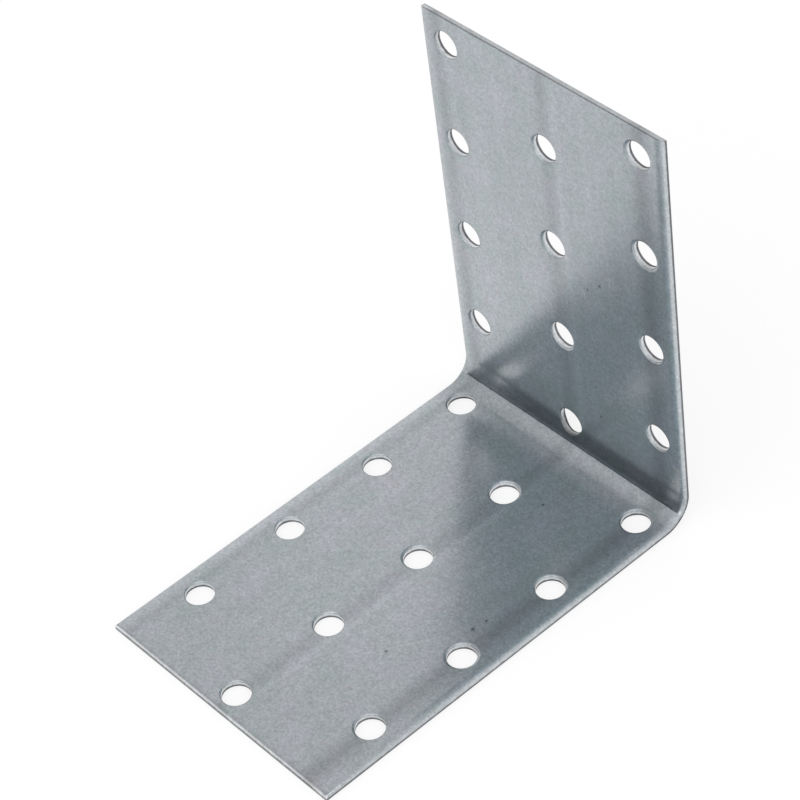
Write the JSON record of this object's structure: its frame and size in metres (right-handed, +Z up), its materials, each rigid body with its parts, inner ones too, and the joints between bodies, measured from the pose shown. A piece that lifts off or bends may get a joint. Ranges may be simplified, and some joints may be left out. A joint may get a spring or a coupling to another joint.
{
  "type": "angle bracket",
  "caption": "Equal-leg angle bracket folded from one strip of galvanised sheet, with staggered nail and screw holes in both legs.",
  "frame": {"origin": "middle of the base's footprint, on its underside", "axes": "+X along the fold, +Y from the base's free end towards the back, +Z up along the back"},
  "size_m": [0.05, 0.0764, 0.0765],
  "materials": {
    "zinc_sheet": "galvanised sheet steel, satin blue-grey with a fine mottled grain"
  },
  "bodies": {
    "root": {"bracket": "zinc_sheet"}
  },
  "joints": []
}
